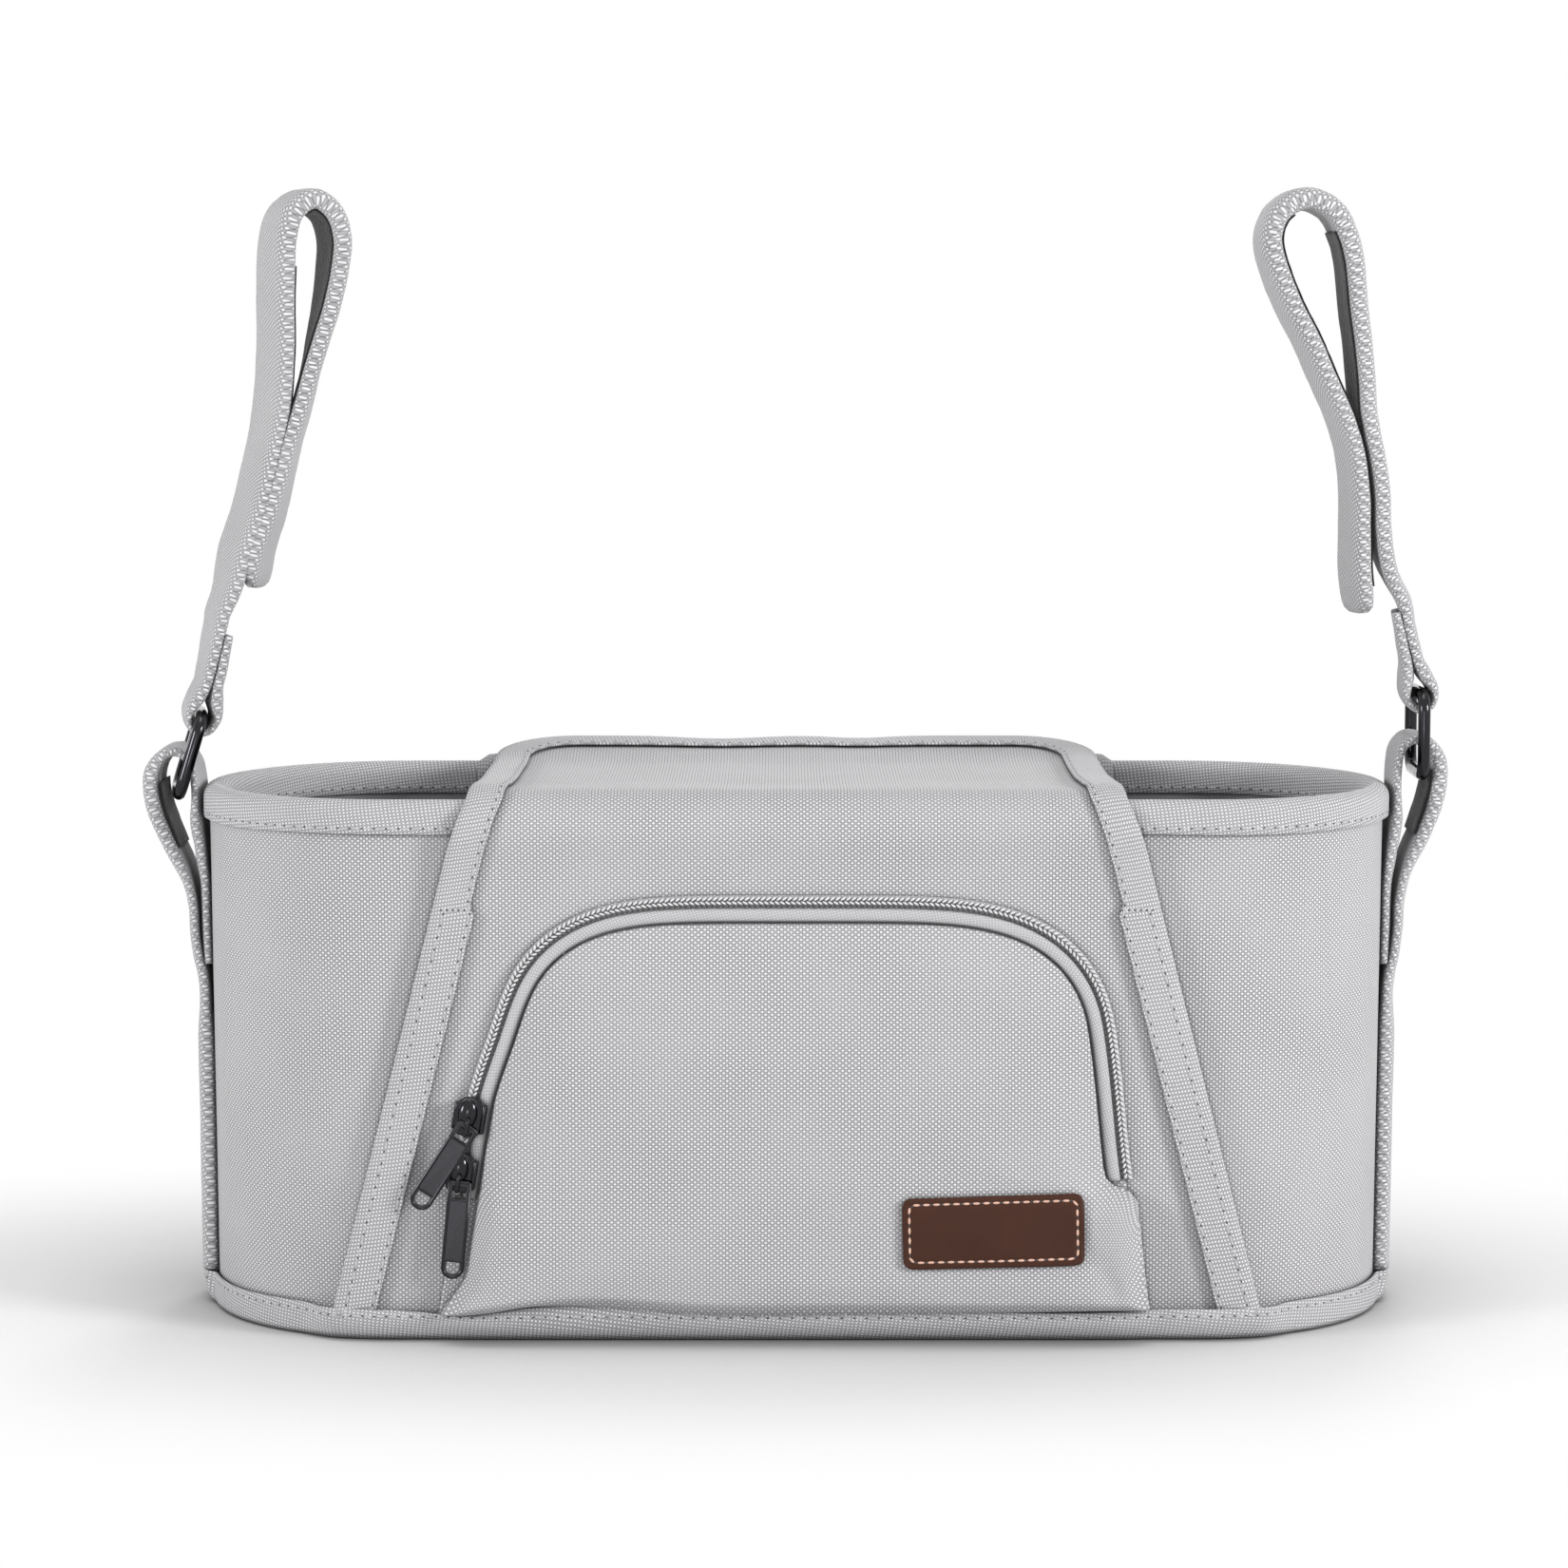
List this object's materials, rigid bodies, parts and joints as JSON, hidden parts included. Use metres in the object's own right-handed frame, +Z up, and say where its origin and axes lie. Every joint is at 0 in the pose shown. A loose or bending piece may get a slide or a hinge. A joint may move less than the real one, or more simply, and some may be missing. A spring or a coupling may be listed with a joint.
{
  "type": "stroller organizer",
  "caption": "Open padded fabric bag with a lid over its middle bay, end bays for cups, a zipped front pocket and a hanging strap with a ring at each end.",
  "frame": {"origin": "middle of the base's underside", "axes": "X along the bag with the zip sliders at -X, +Y to the rear, away from the zipped pocket, +Z up"},
  "size_m": [0.3918, 0.1552, 0.3346],
  "materials": {
    "woven_fabric": "plain woven polyester, light grey melange",
    "fabric_tape": "woven tape cut on the bias",
    "foam": "soft foam sheet",
    "satin_lining": "smooth woven lining",
    "stiff_board": "stiff plastic board",
    "touch_tape": "black hook and loop tape",
    "zip_tape": "woven zip tape and nylon coil",
    "black_nickel": "polished black nickel",
    "leather": "smooth brown leather"
  },
  "bodies": {
    "bag": {"front_panel": "woven_fabric", "front_padding": "foam", "rear_panel": "woven_fabric", "rear_padding": "foam", "lining": "satin_lining", "base_board": "stiff_board", "base_panel": "woven_fabric", "rim_binding": "fabric_tape", "base_binding": "fabric_tape", "left_divider": "satin_lining", "right_divider": "satin_lining", "lid_panel": "woven_fabric", "lid_binding": "fabric_tape", "rear_closing_band": "woven_fabric", "pocket_front": "woven_fabric", "zip_outer_tape": "zip_tape", "zip_inner_tape": "zip_tape", "zip_coil": "zip_tape", "left_gusset": "woven_fabric", "right_gusset": "woven_fabric", "leather_label": "leather", "left_anchor_strap": "woven_fabric", "right_anchor_strap": "woven_fabric", "left_anchor_backing": "touch_tape", "right_anchor_backing": "touch_tape"},
    "upper_slider": {"upper_slider": "black_nickel"},
    "upper_pull": {"upper_pull": "black_nickel"},
    "lower_slider": {"lower_slider": "black_nickel"},
    "lower_pull": {"lower_pull": "black_nickel"},
    "left_ring": {"left_ring": "black_nickel"},
    "right_ring": {"right_ring": "black_nickel"},
    "left_strap": {"left_strap": "woven_fabric", "left_hook_strip": "touch_tape", "left_loop_strip": "touch_tape"},
    "right_strap": {"right_strap": "woven_fabric", "right_hook_strip": "touch_tape", "right_loop_strip": "touch_tape"}
  },
  "joints": [
    {"name": "upper_slider_slide", "type": "slide", "parent": "bag", "child": "upper_slider", "axis": [0.165, 0, 0.9863], "range_m": [0, 0.018]},
    {"name": "upper_pull_hinge", "type": "hinge", "parent": "upper_slider", "child": "upper_pull", "pos_m": [-0.09551, -0.0734, 0.06377], "axis": [-0.8387, 0, 0.5446], "range_deg": [0, 120]},
    {"name": "lower_slider_slide", "type": "slide", "parent": "bag", "child": "lower_slider", "axis": [0.165, 0, 0.9863], "range_m": [-0.001, 0]},
    {"name": "lower_pull_hinge", "type": "hinge", "parent": "lower_slider", "child": "lower_pull", "pos_m": [-0.09795, -0.0734, 0.04732], "axis": [-0.9954, 0, 0.0958], "range_deg": [0, 120]},
    {"name": "left_ring_hinge", "type": "hinge", "parent": "bag", "child": "left_ring", "pos_m": [-0.1878, 0, 0.155], "axis": [-0.1392, 0.9903, 0], "range_deg": [-95, 15]},
    {"name": "left_strap_hinge", "type": "hinge", "parent": "left_ring", "child": "left_strap", "pos_m": [-0.18079, 0.00098, 0.17814], "axis": [-0.1392, 0.9903, 0], "range_deg": [-60, 40]},
    {"name": "right_ring_hinge", "type": "hinge", "parent": "bag", "child": "right_ring", "pos_m": [0.18865, 0, 0.161], "axis": [0, -1, 0], "range_deg": [-80, 30]},
    {"name": "right_strap_hinge", "type": "hinge", "parent": "right_ring", "child": "right_strap", "pos_m": [0.18865, 0, 0.1852], "axis": [0, -1, 0], "range_deg": [-60, 30]}
  ]
}
